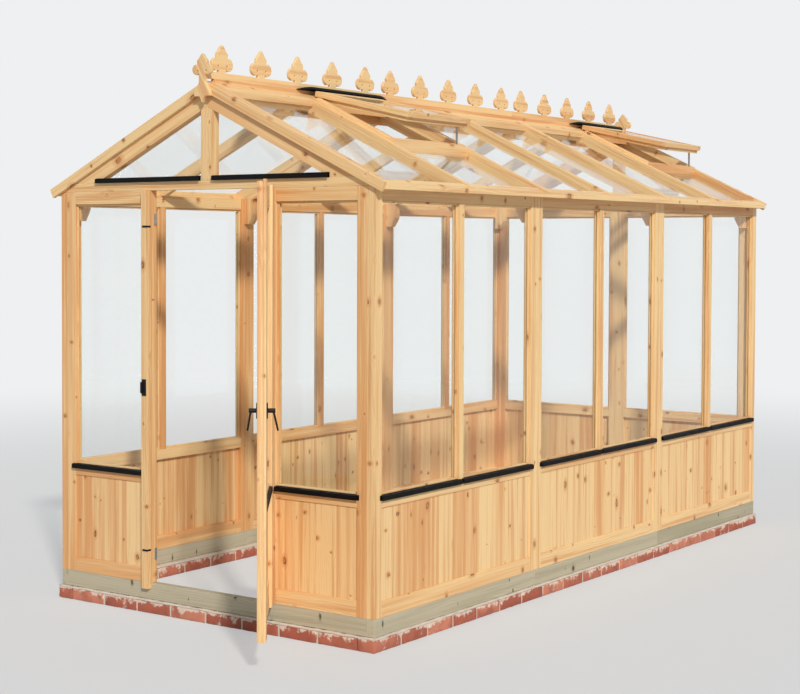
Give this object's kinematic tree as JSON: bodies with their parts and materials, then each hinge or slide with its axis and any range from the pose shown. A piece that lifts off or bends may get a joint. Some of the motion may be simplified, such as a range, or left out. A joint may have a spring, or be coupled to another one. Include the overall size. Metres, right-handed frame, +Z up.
{
  "type": "timber greenhouse",
  "caption": "Long apex greenhouse of pine frames with boarded lower walls, glazed sides and roof, an open door in the gable, roof vents and a fretted ridge, on a brick plinth.",
  "frame": {"origin": "middle of the front gable, in the plane of its outer face, at ground level under the plinth", "axes": "+X to the right seen from in front of the door, +Y from the front gable to the back one, +Z up"},
  "size_m": [2.17, 5.062, 2.858],
  "materials": {
    "pine": "planed, untreated",
    "treated_timber": "sawn, pressure treated",
    "brick": "fired brick in lime mortar",
    "glass": "clear, toughened",
    "black_trim": "satin",
    "galvanised": "galvanised",
    "black_iron": "satin black"
  },
  "bodies": {
    "building": {"back_wall_posts": "pine", "back_wall_rails": "pine", "corner_irons": "black_iron", "door_battens": "pine", "door_catches": "galvanised", "door_keep": "black_iron", "drip_strips": "black_trim", "eave_rails": "pine", "end_base_beams": "treated_timber", "end_plinths": "brick", "finials": "pine", "front_wall_posts": "pine", "front_wall_rails": "pine", "gable_glass": "glass", "gable_ties": "pine", "glazing_bars": "pine", "king_posts": "pine", "knee_blocks": "pine", "left_bargeboards": "pine", "left_gable_rafters": "pine", "left_wall_posts": "pine", "left_wall_rails": "pine", "main_rafters": "pine", "ridge_board": "pine", "ridge_cresting": "pine", "ridge_rails": "pine", "right_bargeboards": "pine", "right_gable_rafters": "pine", "right_wall_posts": "pine", "right_wall_rails": "pine", "roof_glass": "glass", "side_base_beams": "treated_timber", "side_plinths": "brick", "vent_flaps": "black_trim", "vent_glass": "glass", "vent_kerbs": "pine", "vent_rails": "pine", "vent_stays": "galvanised", "vent_stiles": "pine", "vent_trimmers": "pine", "wall_boarding": "pine", "wall_glass": "glass"},
    "door": {"door_boarding": "pine", "door_drip_strip": "black_trim", "door_glass": "glass", "door_handle_plates": "black_iron", "door_hinges": "galvanised", "door_rails": "pine", "door_stiles": "pine"},
    "handles": {"door_handles": "black_iron"}
  },
  "joints": [
    {"name": "door_hinge", "type": "hinge", "parent": "building", "child": "door", "pos_m": [0.394, -0.0325, 1.148], "axis": [0, 0, 1], "range_deg": [-127.3, 7.7]},
    {"name": "handle_turn", "type": "hinge", "parent": "door", "child": "handles", "pos_m": [0.86014, -0.60892, 1.156], "axis": [-0.7955, -0.606, 0], "range_deg": [-55, 35]}
  ]
}
